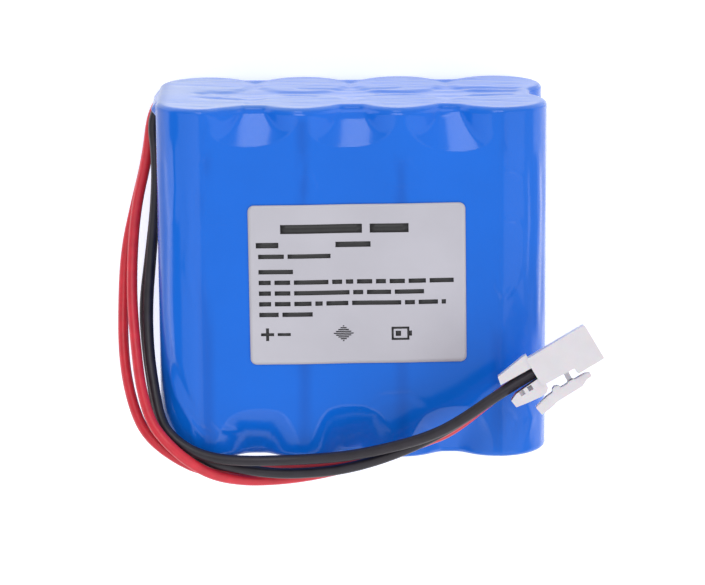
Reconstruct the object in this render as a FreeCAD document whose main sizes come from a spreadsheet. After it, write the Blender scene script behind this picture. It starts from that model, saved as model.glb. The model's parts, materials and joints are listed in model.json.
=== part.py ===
import FreeCAD, Part
import math
import os
import Sketcher
from FreeCAD import Placement, Rotation, Vector

# Rechargeable battery pack lying on its large face: four columns of cells side by side along X,
# two rows stacked along Z, every cell lying along Y. Millimetres. The origin is the middle of the
# face the pack rests on. The lead end, with its circuit board, is at +Y, and the four leads come
# out at the -X, +Y corner.

os.makedirs("parts", exist_ok=True)
doc = FreeCAD.newDocument("battery_pack")

DRIVING_SIZES = {
    # cells
    "cell_length": 65.0, "can_dia": 18.0, "can_wall": 0.25, "can_base": 0.3, "can_height": 64.2,
    "bead_base": 60.2, "bead_depth": 0.6, "rim_opening": 6.7, "wrap_dia": 18.3, "wrap_wall": 0.13,
    "wrap_top": 64.4, "wrap_lip": 0.15, "wrap_opening": 6.9, "cap_base": 62.9, "cap_disc": 0.6,
    "cap_radius": 8.1, "nub_radius": 4.0, "gasket_base": 62.2, "gasket_top": 63.9, "gasket_out": 8.7,
    "roll_radius": 8.6, "roll_bore": 1.0, "roll_base": 0.5, "roll_top": 59.8,
    "washer_base": 64.45, "washer_thick": 0.3, "washer_radius": 8.8, "washer_hole": 4.4,
    # arrangement
    "columns": 4.0, "rows": 2.0, "column_pitch": 18.7, "row_pitch": 18.6, "cells_start": -33.35,
    # nickel, insulation and film
    "strip_thick": 0.15, "strip_edge": 4.0, "weld_slot_width": 1.0, "weld_slot_length": 4.5,
    "sheet_thick": 0.2, "sheet_margin_x": 3.0, "sheet_margin_z": 4.7, "sheet_corner": 5.5,
    "film_wall": 0.3, "film_gap": 0.05, "film_length": 68.6, "film_edge": 1.1, "film_edge_inside": 0.6,
    "side_slot_length": 50.0, "side_slot_height": 11.0, "side_slot_corner": 5.2,
    "notch_depth": 0.9, "notch_start": 22.3, "notch_length": 11.3, "notch_low": 11.8,
    "notch_high": 24.6, "lead_gap_width": 5.3,
    "label_width": 41.5, "label_height": 31.2, "label_thick": 0.15, "label_corner": 1.2,
    # circuit board
    "board_length": 62.0, "board_width": 15.0, "board_thick": 0.6, "board_start": -32.4,
    "cover_thick": 0.12, "cover_room": 0.55, "tab_width": 3.0, "tab_height": 4.0,
    "sense_radius": 0.45, "stub_radius": 0.4, "stub_length": 3.2,
    # leads and their connector
    "lead_dia": 2.05, "lead_pitch": 2.5, "plug_length": 12.8, "plug_above": 3.0, "plug_below": 4.35,
    "plug_row": 12.4, "ear_row": 11.6, "rib_row": 5.0, "cavity_width": 2.2, "cavity_row": 2.15,
    "window_side": 0.95, "window_depth": 1.4, "lever_row": 7.6, "lever_gap": 0.16,
    "contact_side": 1.8, "contact_length": 6.0, "crimp_radius": 0.95, "crimp_length": 4.3,
}

sheet = doc.addObject("Spreadsheet::Sheet", "Sizes")
for row, (alias, value) in enumerate(DRIVING_SIZES.items(), start=1):
    sheet.set(f"A{row}", alias)
    sheet.set(f"B{row}", str(value))
    sheet.setAlias(f"B{row}", alias)
doc.recompute()


class Dim:
    """A length that knows its present value and the sheet expression that gives it."""

    def __init__(self, value, text):
        self.value = value
        self.text = text

    def joined(self, sign, other, value):
        other_text = other.text if isinstance(other, Dim) else repr(float(other))
        return Dim(value, f"({self.text} {sign} {other_text})")

    def __add__(self, other):
        return self.joined("+", other, self.value + number(other))

    def __sub__(self, other):
        return self.joined("-", other, self.value - number(other))

    def __mul__(self, other):
        return self.joined("*", other, self.value * number(other))

    def __truediv__(self, other):
        return self.joined("/", other, self.value / number(other))

    def __neg__(self):
        return Dim(-self.value, f"(0 - {self.text})")


def number(length):
    return length.value if isinstance(length, Dim) else float(length)


def cell(alias):
    """The sheet cell with this alias, as a Dim."""
    return Dim(float(sheet.get(alias)), f"Sizes.{alias}")


def bind(obj, prop, length):
    """Sets a property, and binds it to the sheet where its size comes from there."""
    if isinstance(length, Dim):
        obj.setExpression(prop, length.text)
    else:
        setattr(obj, prop, float(length))


def place(obj, x=0.0, y=0.0, z=0.0, rotation=Rotation()):
    obj.Placement = Placement(Vector(number(x), number(y), number(z)), rotation)
    return obj


# ---------------------------------------------------------------- building blocks

def polygon(sketch, corners):
    """A closed outline whose corners are held at sheet sizes from the sketch's origin."""
    first = sketch.GeometryCount
    count = len(corners)
    points = [Vector(number(u), number(v), 0) for u, v in corners]
    for index in range(count):
        sketch.addGeometry(Part.LineSegment(points[index], points[(index + 1) % count]), False)
    for index in range(count):
        following = first + (index + 1) % count
        sketch.addConstraint(Sketcher.Constraint("Coincident", first + index, 2, following, 1))
    for index, (u, v) in enumerate(corners):
        for kind, axis, length in (("DistanceX", -2, u), ("DistanceY", -1, v)):
            value = number(length)
            if abs(value) < 1e-9:
                sketch.addConstraint(Sketcher.Constraint("PointOnObject", first + index, 1, axis))
                continue
            ends = (-1, 1, first + index, 1) if value > 0 else (first + index, 1, -1, 1)
            held = sketch.addConstraint(Sketcher.Constraint(kind, *ends, abs(value)))
            if isinstance(length, Dim):
                text = length.text if value > 0 else (-length).text
                sketch.setExpression(f"Constraints[{held}]", text)


def rectangle(low_u, low_v, high_u, high_v):
    return [(low_u, low_v), (high_u, low_v), (high_u, high_v), (low_u, high_v)]


def new_body(name):
    body = doc.addObject("PartDesign::Body", name)
    body.Label = name
    return body


def sketch_on(body, role, *outlines):
    sketch = body.newObject("Sketcher::SketchObject", f"{body.Name}_outline")
    plane = next(item for item in body.Origin.OriginFeatures if item.Role == role)
    sketch.AttachmentSupport = [(plane, "")]
    sketch.MapMode = "FlatFace"
    for corners in outlines:
        polygon(sketch, corners)
    return sketch


def pad(body, sketch, length, reverse=False):
    feature = body.newObject("PartDesign::Pad", f"{body.Name}_pad")
    feature.Profile = sketch
    bind(feature, "Length", length)
    feature.Reversed = reverse
    doc.recompute()
    return feature


def pocket(body, sketch, length, reverse=False):
    """A pocket that has to remove material."""
    before = body.Shape.Volume
    feature = body.newObject("PartDesign::Pocket", f"{body.Name}_pocket")
    feature.Profile = sketch
    bind(feature, "Length", length)
    feature.Reversed = reverse
    doc.recompute()
    if body.Shape.Volume > before - 1e-6:
        raise RuntimeError(f"{body.Label}: the pocket cuts nothing")
    return feature


def round_edges(body, radius, chosen):
    """Fillets the edges of the body's tip that the test accepts."""
    base = body.Tip
    names = [f"Edge{n}" for n, edge in enumerate(base.Shape.Edges, start=1) if chosen(edge)]
    feature = body.newObject("PartDesign::Fillet", f"{body.Name}_round")
    feature.Base = (base, names)
    bind(feature, "Radius", radius)
    doc.recompute()
    return feature


def runs_along(edge, axis):
    """True for a straight edge along the axis."""
    if edge.Curve.TypeId != "Part::GeomLine":
        return False
    return abs(abs(edge.tangentAt(edge.FirstParameter).dot(axis)) - 1) < 1e-6


def flat_at(edge, pick, value):
    """True for an edge that lies wholly in the plane where one coordinate has this value."""
    samples = edge.discretize(5)
    return all(abs(pick(point) - value) < 1e-6 for point in samples)


def revolved(name, profile):
    """A ring or cup: the profile, radius against height, turned about its axis."""
    body = new_body(name)
    sketch = sketch_on(body, "XZ_Plane", profile)
    feature = body.newObject("PartDesign::Revolution", f"{name}_turn")
    feature.Profile = sketch
    feature.ReferenceAxis = (sketch, ["V_Axis"])
    feature.Angle = 360
    doc.recompute()
    return body


def box(name, length, width, height, x, y, z):
    block = doc.addObject("Part::Box", name)
    block.Label = name
    for prop, size in (("Length", length), ("Width", width), ("Height", height)):
        bind(block, prop, size)
    return place(block, x, y, z)


def cylinder(name, radius, height, x=0.0, y=0.0, z=0.0, rotation=Rotation()):
    rod = doc.addObject("Part::Cylinder", name)
    rod.Label = name
    bind(rod, "Radius", radius)
    bind(rod, "Height", height)
    return place(rod, x, y, z, rotation)


def cut(name, base, tools):
    """The base piece with every tool taken out of it."""
    tool = tools[0]
    if len(tools) > 1:
        tool = doc.addObject("Part::MultiFuse", f"{name}_tools")
        tool.Shapes = tools
    result = doc.addObject("Part::Cut", name)
    result.Label = name
    result.Base = base
    result.Tool = tool
    return result


def group(name, pieces):
    """Several separate solids of one kind, kept as one node."""
    result = doc.addObject("Part::Compound", name)
    result.Label = name
    result.Links = pieces
    return result


# ---------------------------------------------------------------- shared places

half_width = ((cell("columns") - 1) * cell("column_pitch") + cell("wrap_dia")) / 2
half_width = half_width + cell("film_wall") + cell("film_gap")
height = (cell("rows") - 1) * cell("row_pitch") + cell("wrap_dia")
height = height + (cell("film_wall") + cell("film_gap")) * 2
mid_height = height / 2
film_end = cell("film_length") / 2
wrap_radius = cell("wrap_dia") / 2
cells_end = cell("cells_start") + cell("cell_length")
TO_LEAD_END = Rotation(Vector(1, 0, 0), -90)
TO_FAR_END = Rotation(Vector(1, 0, 0), 90)
ALONG_X = Rotation(Vector(0, 1, 0), 90)
exported = []


def keep(*pieces):
    """Notes the pieces that are written out as nodes."""
    exported.extend(pieces)


def column_x(column):
    return cell("column_pitch") * (column - (DRIVING_SIZES["columns"] - 1) / 2)


def row_z(row):
    return mid_height + cell("row_pitch") * (row - (DRIVING_SIZES["rows"] - 1) / 2)


# ---------------------------------------------------------------- cells

def can_profile():
    outer = cell("can_dia") / 2
    inner = outer - cell("can_wall")
    base, top = cell("bead_base"), cell("can_height")
    neck, neck_inside = outer - cell("bead_depth"), inner - cell("bead_depth")
    lip = top - cell("can_wall")
    outside = [(0, 0), (outer, 0), (outer, base), (neck, base + 0.6), (neck, base + 1.2),
               (outer, base + 1.8), (outer, top)]
    rim = [(cell("rim_opening"), top), (cell("rim_opening"), lip)]
    inside = [(inner, lip), (inner, base + 1.9), (neck_inside, base + 1.3),
              (neck_inside, base + 0.5), (inner, base - 0.1), (inner, cell("can_base")),
              (0, cell("can_base"))]
    return outside + rim + inside


def wrap_profile():
    inner, lip = wrap_radius - cell("wrap_wall"), cell("wrap_top") - cell("wrap_lip")
    return [(inner, 0), (wrap_radius, 0), (wrap_radius, cell("wrap_top")),
            (cell("wrap_opening"), cell("wrap_top")), (cell("wrap_opening"), lip), (inner, lip)]


def cap_profile():
    base, shoulder = cell("cap_base"), cell("cap_base") + cell("cap_disc")
    return [(0, base), (cell("cap_radius"), base), (cell("cap_radius"), shoulder),
            (cell("nub_radius") + 0.3, shoulder), (cell("nub_radius"), cell("cell_length")),
            (0, cell("cell_length"))]


def gasket_profile():
    inner = cell("cap_radius") + 0.05
    step = cell("cap_base") + cell("cap_disc") + 0.05
    lip = cell("rim_opening") + 0.05
    return [(inner, cell("gasket_base")), (cell("gasket_out"), cell("gasket_base")),
            (cell("gasket_out"), cell("gasket_top")), (lip, cell("gasket_top")), (lip, step),
            (inner, step)]


def roll_profile():
    return rectangle(cell("roll_bore"), cell("roll_base"), cell("roll_radius"), cell("roll_top"))


def washer_profile():
    top = cell("washer_base") + cell("washer_thick")
    return rectangle(cell("washer_hole"), cell("washer_base"), cell("washer_radius"), top)


def place_cell(piece, column, row):
    """Even columns have their positive end at the far end, odd ones at the lead end."""
    to_lead_end = column % 2 == 1
    start = cell("cells_start") if to_lead_end else cells_end
    rotation = TO_LEAD_END if to_lead_end else TO_FAR_END
    return place(piece, column_x(column), start, row_z(row), rotation)


gaskets = []
washers = []
spots = [(column, row) for row in range(2) for column in range(4)]
for index, (column, row) in enumerate(spots, start=1):
    can = revolved(f"cell_{index}_can", can_profile())
    wrap = revolved(f"cell_{index}_wrap", wrap_profile())
    cap = revolved(f"cell_{index}_cap", cap_profile())
    roll = revolved(f"cell_{index}_roll", roll_profile())
    gasket = revolved(f"gasket_ring_{index}", gasket_profile())
    washer = revolved(f"washer_ring_{index}", washer_profile())
    for piece in (can, wrap, cap, roll, gasket, washer):
        place_cell(piece, column, row)
    gaskets.append(gasket)
    washers.append(washer)
    keep(can, wrap, cap, roll)
keep(group("cell_gaskets", gaskets), group("paper_washers", washers))


# ---------------------------------------------------------------- nickel strips

def strip(name, columns, y):
    """A welded plate over both rows of the given columns, slit over each cell."""
    reach = cell("strip_edge")
    low_x, high_x = column_x(columns[0]) - reach, column_x(columns[-1]) + reach
    low_z, high_z = row_z(0) - reach, row_z(1) + reach
    outlines = [rectangle(low_x, low_z, high_x, high_z)]
    slit, half = cell("weld_slot_width") / 2, cell("weld_slot_length") / 2
    for column in columns:
        for row in range(2):
            x, z = column_x(column), row_z(row)
            outlines.append(rectangle(x - slit, z - half, x + slit, z + half))
    body = new_body(name)
    pad(body, sketch_on(body, "XZ_Plane", *outlines), cell("strip_thick"), reverse=True)
    keep(place(body, y=y))


strip("strip_negative", [0], cells_end)
strip("strip_cells_2_3", [1, 2], cells_end)
strip("strip_positive", [3], cells_end)
far_strips = cell("cells_start") - cell("strip_thick")
strip("strip_cells_1_2", [0, 1], far_strips)
strip("strip_cells_3_4", [2, 3], far_strips)


# ---------------------------------------------------------------- insulating sheets

def rounded_slab(name, low, high, thickness, corner):
    """A plate in the XZ plane, from y = 0 towards +Y, with its four corners rounded."""
    body = new_body(name)
    pad(body, sketch_on(body, "XZ_Plane", rectangle(*low, *high)), thickness, reverse=True)
    round_edges(body, corner, lambda edge: runs_along(edge, Vector(0, 1, 0)))
    return body


sheet_low = (-half_width + cell("sheet_margin_x"), cell("sheet_margin_z"))
sheet_high = (half_width - cell("sheet_margin_x"), height - cell("sheet_margin_z"))
lead_sheet_y = cells_end + cell("strip_thick")
far_sheet_y = far_strips - cell("sheet_thick")
far_sheet = rounded_slab("insulator_far_end", sheet_low, sheet_high, cell("sheet_thick"),
                         cell("sheet_corner"))
keep(place(far_sheet, y=far_sheet_y))
lead_blank = rounded_slab("insulator_blank", sheet_low, sheet_high, cell("sheet_thick"),
                          cell("sheet_corner"))
place(lead_blank, y=lead_sheet_y)

# sense wires run through the gaps where four cells meet, from the far strips to the board
board_y = lead_sheet_y + cell("sheet_thick")
sense_wires = []
sense_holes = []
for count, x in enumerate((-cell("column_pitch"), cell("column_pitch")), start=1):
    sense_wires.append(cylinder(f"sense_wire_{count}", cell("sense_radius"),
                                board_y - cell("cells_start"), x, cell("cells_start"), mid_height,
                                TO_LEAD_END))
    sense_holes.append(cylinder(f"sense_hole_{count}", cell("sense_radius") + 0.2, 2.0, x,
                                lead_sheet_y - 0.5, mid_height, TO_LEAD_END))
keep(group("sense_wires", sense_wires))

# short nickel tabs join the lead-end strips to the board through slots in the sheet
tabs = []
tab_slots = []
for count, x in enumerate((-30.5, -1.5, 25.0), start=1):
    width, tall = cell("tab_width"), cell("tab_height")
    tabs.append(box(f"board_tab_{count}", width, cell("sheet_thick"), tall, x, lead_sheet_y,
                    mid_height - tall / 2))
    tab_slots.append(box(f"tab_slot_{count}", width + 0.4, 2.0, tall + 0.4, x - 0.2,
                         lead_sheet_y - 0.5, mid_height - tall / 2 - 0.2))
keep(group("board_tabs", tabs))
lead_gap = box("lead_gap", cell("lead_gap_width"), 2.0, cell("notch_high") - cell("notch_low"),
               -half_width, lead_sheet_y - 0.5, cell("notch_low"))
keep(cut("insulator_lead_end", lead_blank, sense_holes + tab_slots + [lead_gap]))


# ---------------------------------------------------------------- circuit board

board_face = board_y + cell("board_thick")
board_low_z = mid_height - cell("board_width") / 2
board = rounded_slab("circuit_board", (cell("board_start"), board_low_z),
                     (cell("board_start") + cell("board_length"),
                      board_low_z + cell("board_width")), cell("board_thick"), 1.0)
keep(place(board, y=board_y))


def on_board(name, size, starts):
    """Identical parts standing on the board: size is along X, out of the board, along Z."""
    along, tall, across = size
    return [box(f"{name}_{count}", along, tall, across, x, board_face, mid_height + z)
            for count, (x, z) in enumerate(starts, start=1)]


transistor_starts = [(x, z) for x in (-18.5, -12.0) for z in (-5.5, 1.5)]
passive_starts = [(x, z) for x in (-5.5, -1.2, 10.5) for z in (-5.0, -0.4, 4.6)]
transistors = on_board("transistor", (5.0, 0.8, 4.0), transistor_starts)
controller = on_board("controller", (6.5, 0.8, 4.4), [(2.0, -2.2)])
shunts = on_board("shunt", (6.3, 0.6, 3.1), [(14.5, -5.2), (14.5, 2.0)])
passives = on_board("passive", (1.6, 0.5, 0.8), passive_starts)
keep(group("board_chips", transistors + controller), group("board_passives", shunts + passives))
cover_low = (cell("board_start") + 1.0, board_low_z - 1.0)
cover_high = (cell("board_start") + cell("board_length") + 1.0,
              board_low_z + cell("board_width") + 1.0)
cover = rounded_slab("board_cover", cover_low, cover_high, cell("cover_thick"), 1.5)
keep(place(cover, y=film_end - cell("film_wall") - cell("cover_room")))


# ---------------------------------------------------------------- shrink film and label

def rounded_block(name, inset, edge_radius):
    """The pack's outline, inset from the outside of the film, with rounded long edges and ends."""
    body = new_body(name)
    corners = rectangle(-half_width + inset, inset, half_width - inset, height - inset)
    depth = cell("film_length") - inset * 2
    pad(body, sketch_on(body, "XZ_Plane", corners), depth, reverse=True)
    round_edges(body, wrap_radius + cell("film_wall") + cell("film_gap") - inset,
                lambda edge: runs_along(edge, Vector(0, 1, 0)))
    ends = (0.0, number(depth))
    round_edges(body, edge_radius, lambda edge: any(flat_at(edge, lambda p: p.y, end) for end in ends))
    return place(body, y=-film_end + inset)


film_skin = rounded_block("film_skin", 0.0, cell("film_edge"))
film_inside = rounded_block("film_inside", cell("film_wall"), cell("film_edge_inside"))
slot_half = cell("side_slot_length") / 2
slot_tall = cell("side_slot_height") / 2
side_slot = new_body("side_slot")
pad(side_slot, sketch_on(side_slot, "YZ_Plane", rectangle(-slot_half, -slot_tall, slot_half, slot_tall)),
    half_width * 2 + 2.0)
round_edges(side_slot, cell("side_slot_corner"), lambda edge: runs_along(edge, Vector(1, 0, 0)))
place(side_slot, -half_width - 1.0, 0, mid_height)
lead_notch = box("lead_notch", cell("notch_depth") + 1.0, cell("notch_length"),
                 cell("notch_high") - cell("notch_low"), -half_width - 1.0, cell("notch_start"),
                 cell("notch_low"))
keep(cut("film_sleeve", film_skin, [film_inside, side_slot, lead_notch]))

label = new_body("info_label")
half_label, tall_label = cell("label_width") / 2, cell("label_height") / 2
pad(label, sketch_on(label, "XY_Plane", rectangle(-half_label, -tall_label, half_label, tall_label)),
    cell("label_thick"))
round_edges(label, cell("label_corner"), lambda edge: runs_along(edge, Vector(0, 0, 1)))
keep(place(label, 0.95, 0.35, height, Rotation(Vector(0, 0, 1), 0.55)))


# ---------------------------------------------------------------- connector frame

# Local axes: x towards the mating end, z along the row of four ways, origin where the top lead
# goes into the housing. The row leans towards the lead end and a little to -X.
PLUG_ENTRY = Vector(34.2, -14.5, 49.1)
PLUG_TURN = 31.0
PLUG_LEAN = 12.5
PLUG_ROLL = -2.5
plug_rotation = Rotation(Vector(0, 1, 0), PLUG_ROLL)
plug_rotation = plug_rotation.multiply(Rotation(Vector(1, 0, 0), -PLUG_LEAN))
plug_rotation = plug_rotation.multiply(Rotation(Vector(0, 0, 1), PLUG_TURN))
row_centre = -cell("lead_pitch") * 1.5


def place_in_plug(piece, x=0.0, y=0.0, z=0.0):
    """Moves a piece drawn in the connector's local axes to its place on the pack."""
    offset = plug_rotation.multVec(Vector(number(x), number(y), number(z)))
    piece.Placement = Placement(PLUG_ENTRY + offset, plug_rotation)
    return piece


def layer(body, name, outlines, depth):
    """A pad in the connector's local plane, centred on the housing's width."""
    sketch = sketch_on(body, "XY_Plane", *outlines)
    sketch.Label = f"{name}_outline"
    offset = (number(cell("plug_row")) - number(depth)) / 2
    sketch.AttachmentOffset = Placement(Vector(0, 0, offset), Rotation())
    return pad(body, sketch, depth)


def connector_housing():
    """Box with four cavities through it, and two ears that shield the leads behind it."""
    body = new_body("connector_housing")
    low, high = -cell("plug_below"), cell("plug_above")
    shell = [(0, -2.8), (7.0, -3.1), (7.0, low), (cell("plug_length"), low),
             (cell("plug_length"), high), (0, high)]
    layer(body, "shell", [shell], cell("plug_row"))
    round_edges(body, 0.3, lambda edge: runs_along(edge, Vector(0, 0, 1)))
    upper = [(0.4, 1.1), (0.4, 3.7), (-0.3, 3.75), (-6.3, 2.85), (-6.6, 1.3)]
    lower = [(0.8, -1.2), (-5.0, -1.65), (-6.4, -2.3), (-6.2, -3.8), (-3.7, -4.2), (-1.0, -4.5),
             (0.1, -4.35), (0.8, -3.7)]
    layer(body, "ears", [upper, lower], cell("ear_row"))
    layer(body, "rib", [[(4.7, -2.6), (4.6, -4.6), (5.6, -4.6), (5.7, -2.6)]], cell("rib_row"))
    half, tall = cell("cavity_width") / 2, cell("cavity_row") / 2
    for way in range(4):
        z = cell("plug_row") / 2 + cell("lead_pitch") * (way - 1.5)
        cavity = sketch_on(body, "YZ_Plane", rectangle(-half, z - tall, half, z + tall))
        pocket(body, cavity, cell("plug_length") + 1.0, reverse=True)
    side = cell("window_side")
    windows = [rectangle(x, -2.5, side + x, -1.55) for x in (-4.35, -2.6)]
    step = (cell("plug_row") - cell("ear_row")) / 2
    pocket(body, sketch_on(body, "XY_Plane", *windows), cell("window_depth") + step, reverse=True)
    upper_windows = sketch_on(body, "XY_Plane", *windows)
    upper_windows.AttachmentOffset = Placement(Vector(0, 0, number(cell("plug_row"))), Rotation())
    pocket(body, upper_windows, cell("window_depth") + step)
    return place_in_plug(body, z=row_centre - cell("plug_row") / 2)


def latch_lever():
    """Rocking latch beside the housing: thumb tab behind, hook in front, fulcrum between."""
    nose = -(cell("lever_gap") + 4.6)
    profile = [(-3.1, -5.85), (-0.3, -5.1), (1.0, -5.0), (1.4, -4.4), (2.0, -4.2), (2.6, -4.45),
               (2.9, -5.0), (4.4, -5.0), (4.7, nose), (5.6, nose), (5.9, -5.0), (8.2, -5.05),
               (9.1, -5.4), (9.05, -6.1), (7.85, -6.2), (6.6, -6.85), (0.9, -6.95), (-0.2, -7.25),
               (-2.8, -7.6)]
    body = new_body("latch_lever")
    pad(body, sketch_on(body, "XY_Plane", profile), cell("lever_row"))
    round_edges(body, 0.15,
                lambda edge: runs_along(edge, Vector(0, 0, 1)) and edge.BoundBox.YMax < -5.3)
    return place_in_plug(body, z=row_centre - cell("lever_row") / 2)


def terminal(way):
    """Crimped socket contact in one cavity, touching the end of its lead."""
    z = -cell("lead_pitch") * way
    start = 0.05
    crimp = cylinder(f"crimp_{way}", cell("crimp_radius"), cell("crimp_length"), start, 0, 0, ALONG_X)
    side = cell("contact_side")
    contact = box(f"contact_{way}", cell("contact_length"), side, side,
                  cell("crimp_length") + start - 0.05, -side / 2, -side / 2)
    bore = box(f"contact_bore_{way}", 4.0, side - 0.6, side - 0.6,
               cell("crimp_length") + cell("contact_length") - 3.5 + start, -side / 2 + 0.3,
               -side / 2 + 0.3)
    socket = cut(f"socket_{way}", contact, [bore])
    whole = doc.addObject("Part::Fuse", f"terminal_{way + 1}")
    whole.Label = f"terminal_{way + 1}"
    whole.Base = crimp
    whole.Tool = socket
    return place_in_plug(whole, z=z)


keep(connector_housing(), latch_lever())
keep(*[terminal(way) for way in range(4)])


# ---------------------------------------------------------------- leads

# Each route is its own list of points: out of the board over the cell ends, round the corner, along
# the pack's side, rising over its far corner, along its top edge and up to the connector.
LEAD_ROUTES = {
    "lead_black_inner": [
        (-32.4, 32.95, 22.2), (-35.9, 32.95, 22.2), (-38.6, 30.2, 22.0), (-37.8, 22.2, 21.6),
        (-38.1, 13.3, 21.4), (-39.1, 3.0, 22.7), (-39.9, -6.5, 25.4), (-39.6, -14.7, 29.0),
        (-38.6, -20.8, 32.7), (-37.3, -26.6, 36.4), (-35.2, -29.2, 38.9), (-31.4, -31.7, 40.4),
        (-26.7, -33.3, 40.7), (-20.6, -33.9, 40.3), (-14.2, -33.8, 40.3), (-7.7, -33.3, 41.3),
        (-0.8, -32.2, 43.2), (6.6, -30.1, 45.4), (13.5, -27.6, 47.5), (19.3, -24.4, 49.3),
        (27.7, -18.3, 49.6), (34.2, -14.5, 49.1)],
    "lead_black_outer": [
        (-32.4, 32.95, 19.7), (-35.9, 32.95, 19.7), (-38.6, 30.2, 19.4), (-37.9, 21.7, 18.8),
        (-38.3, 12.1, 18.6), (-39.5, 2.4, 19.7), (-40.8, -7.2, 22.5), (-40.1, -15.4, 26.3),
        (-39.0, -21.6, 30.2), (-37.8, -27.2, 34.0), (-35.6, -30.0, 36.7), (-31.6, -32.6, 38.5),
        (-27.4, -34.7, 38.9), (-22.8, -35.8, 38.1), (-16.2, -36.9, 38.4), (-9.5, -36.6, 39.7),
        (-2.1, -35.3, 41.8), (5.7, -32.6, 43.8), (13.0, -29.1, 45.3), (19.0, -25.4, 46.8),
        (27.9, -18.9, 47.2), (34.3, -15.0, 46.7)],
    "lead_red_outer": [
        (-32.4, 32.95, 14.7), (-35.9, 32.95, 14.7), (-38.8, 30.3, 14.4), (-40.1, 20.5, 14.1),
        (-42.4, 11.6, 13.9), (-44.5, 2.5, 15.3), (-45.0, -7.0, 18.7), (-44.9, -15.5, 23.4),
        (-43.8, -22.0, 28.5), (-41.6, -27.8, 33.3), (-38.8, -30.8, 36.6), (-34.3, -33.9, 38.0),
        (-29.5, -36.6, 37.0), (-23.7, -37.5, 35.1), (-17.1, -37.0, 34.9), (-10.0, -36.5, 36.9),
        (-2.5, -35.2, 39.5), (5.3, -32.8, 41.5), (12.6, -29.4, 43.0), (18.6, -26.7, 44.6),
        (27.9, -19.5, 44.7), (34.4, -15.6, 44.2)],
    "lead_red_inner": [
        (-32.4, 32.95, 17.2), (-35.9, 32.95, 17.2), (-38.8, 30.3, 17.0), (-39.8, 21.2, 17.2),
        (-42.0, 12.4, 17.9), (-42.9, 3.6, 20.1), (-43.0, -5.7, 24.2), (-42.1, -14.1, 29.2),
        (-41.1, -20.5, 34.1), (-39.1, -26.4, 38.6), (-36.1, -29.7, 41.2), (-32.2, -33.3, 41.7),
        (-27.3, -36.8, 39.9), (-21.5, -38.8, 36.8), (-15.5, -39.2, 35.2), (-8.9, -38.3, 35.8),
        (-1.7, -36.2, 37.7), (5.9, -33.6, 39.6), (13.1, -30.2, 41.0), (18.9, -27.7, 42.5),
        (28.0, -20.0, 42.3), (34.5, -16.1, 41.8)],
}
TANGENT_SHARE = 0.45


def lead_path(points):
    """Straight runs joined by tangent arcs, each as large as its two runs allow."""
    corners = [Vector(*point) for point in points]
    edges = []
    radii = []
    here = corners[0]
    for before, corner, after in zip(corners, corners[1:], corners[2:]):
        back = (before - corner).normalize()
        ahead = (after - corner).normalize()
        reach = TANGENT_SHARE * min((before - corner).Length, (after - corner).Length)
        turn = math.pi - back.getAngle(ahead)
        radius = reach / math.tan(turn / 2)
        start, end = corner + back * reach, corner + ahead * reach
        inward = (back + ahead).normalize()
        middle = corner + inward * (radius / math.cos(turn / 2) - radius)
        edges.append(Part.LineSegment(here, start).toShape())
        edges.append(Part.Arc(start, middle, end).toShape())
        radii.append(radius)
        here = end
    edges.append(Part.LineSegment(here, corners[-1]).toShape())
    return Part.Wire(edges), radii


def lead(name, points):
    """A plain tube along the route, checked against its section times its length."""
    path, radii = lead_path(points)
    radius = DRIVING_SIZES["lead_dia"] / 2
    direction = Vector(*points[1]) - Vector(*points[0])
    section = Part.Wire(Part.Circle(Vector(*points[0]), direction, radius).toShape())
    tube = path.makePipeShell([section], True, False)
    expected = math.pi * radius ** 2 * path.Length
    print(f"{name}: length {path.Length:.1f}, least radius {min(radii):.1f}, "
          f"volume {tube.Volume:.1f} of {expected:.1f}")
    if abs(tube.Volume - expected) > 0.01 * expected:
        raise RuntimeError(f"{name}: the tube's volume is wrong")
    piece = doc.addObject("Part::Feature", name)
    piece.Label = name
    piece.Shape = tube
    return piece


for name, points in LEAD_ROUTES.items():
    keep(lead(name, points))

stubs = []
for name, points in LEAD_ROUTES.items():
    x, _, z = points[0]
    stubs.append(cylinder(f"{name}_stub", cell("stub_radius"), cell("stub_length"), x,
                          board_face + cell("stub_radius"), z, ALONG_X))
keep(group("lead_stubs", stubs))


# ---------------------------------------------------------------- checks and export

doc.recompute()
for item in doc.Objects:
    if "Invalid" in item.State or "Error" in item.State:
        raise RuntimeError(f"{item.Label} failed: {item.State}")
labels = [piece.Label for piece in exported]
if len(set(labels)) != len(labels) or len(labels) > 60:
    raise RuntimeError("labels must be unique and at most 60")
for piece in exported:
    if piece.Shape.isNull() or not piece.Shape.isValid():
        raise RuntimeError(f"{piece.Label} has no valid shape")
for piece in exported:
    piece.Shape.exportStep(f"parts/{piece.Label}.step")
print(f"{len(exported)} nodes; overall {2 * number(half_width):.1f} x "
      f"{number(cell('film_length')):.1f} x {number(height):.1f} mm")
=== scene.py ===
"""Looks of a rechargeable battery pack: cells in blue shrink film, pale label, four leads and a plug."""

import json
import math

import bmesh
import bpy
import numpy as np
from mathutils import Matrix, Vector
from mathutils.geometry import delaunay_2d_cdt


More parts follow.
